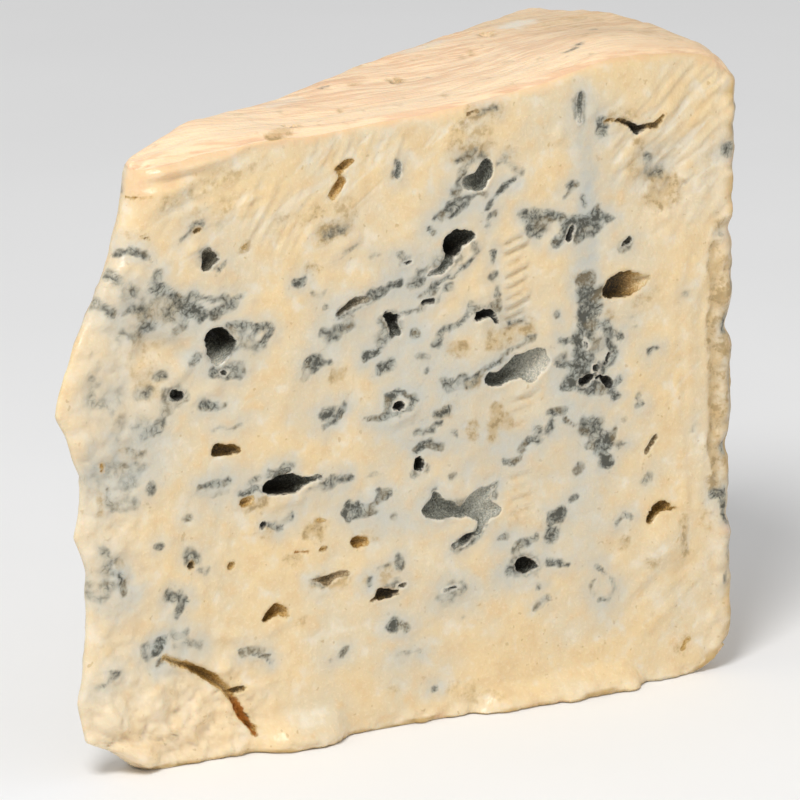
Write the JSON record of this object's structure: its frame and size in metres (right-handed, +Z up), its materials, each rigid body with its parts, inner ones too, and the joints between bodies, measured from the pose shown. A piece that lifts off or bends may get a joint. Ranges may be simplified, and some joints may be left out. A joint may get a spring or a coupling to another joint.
{
  "type": "blue cheese wedge",
  "caption": "Wedge cut from a wheel of blue cheese, with veined, hollowed cut faces and a thin rind, standing on its flat base.",
  "frame": {"origin": "middle of the bounding box at the base, on the surface that the wedge stands on", "axes": "+X from the thin tip to the rind of the rim, +Y from the shown cut face to the other cut face, +Z up the wheel's axis"},
  "size_m": [0.1014, 0.0394, 0.0873],
  "materials": {
    "blue_cheese_paste": "moist, fatty cream-coloured paste with a soft sheen; blue-grey mould in the hollows and a thin peach-coloured rind"
  },
  "bodies": {
    "root": {"cheese_wedge": "blue_cheese_paste"}
  },
  "joints": []
}
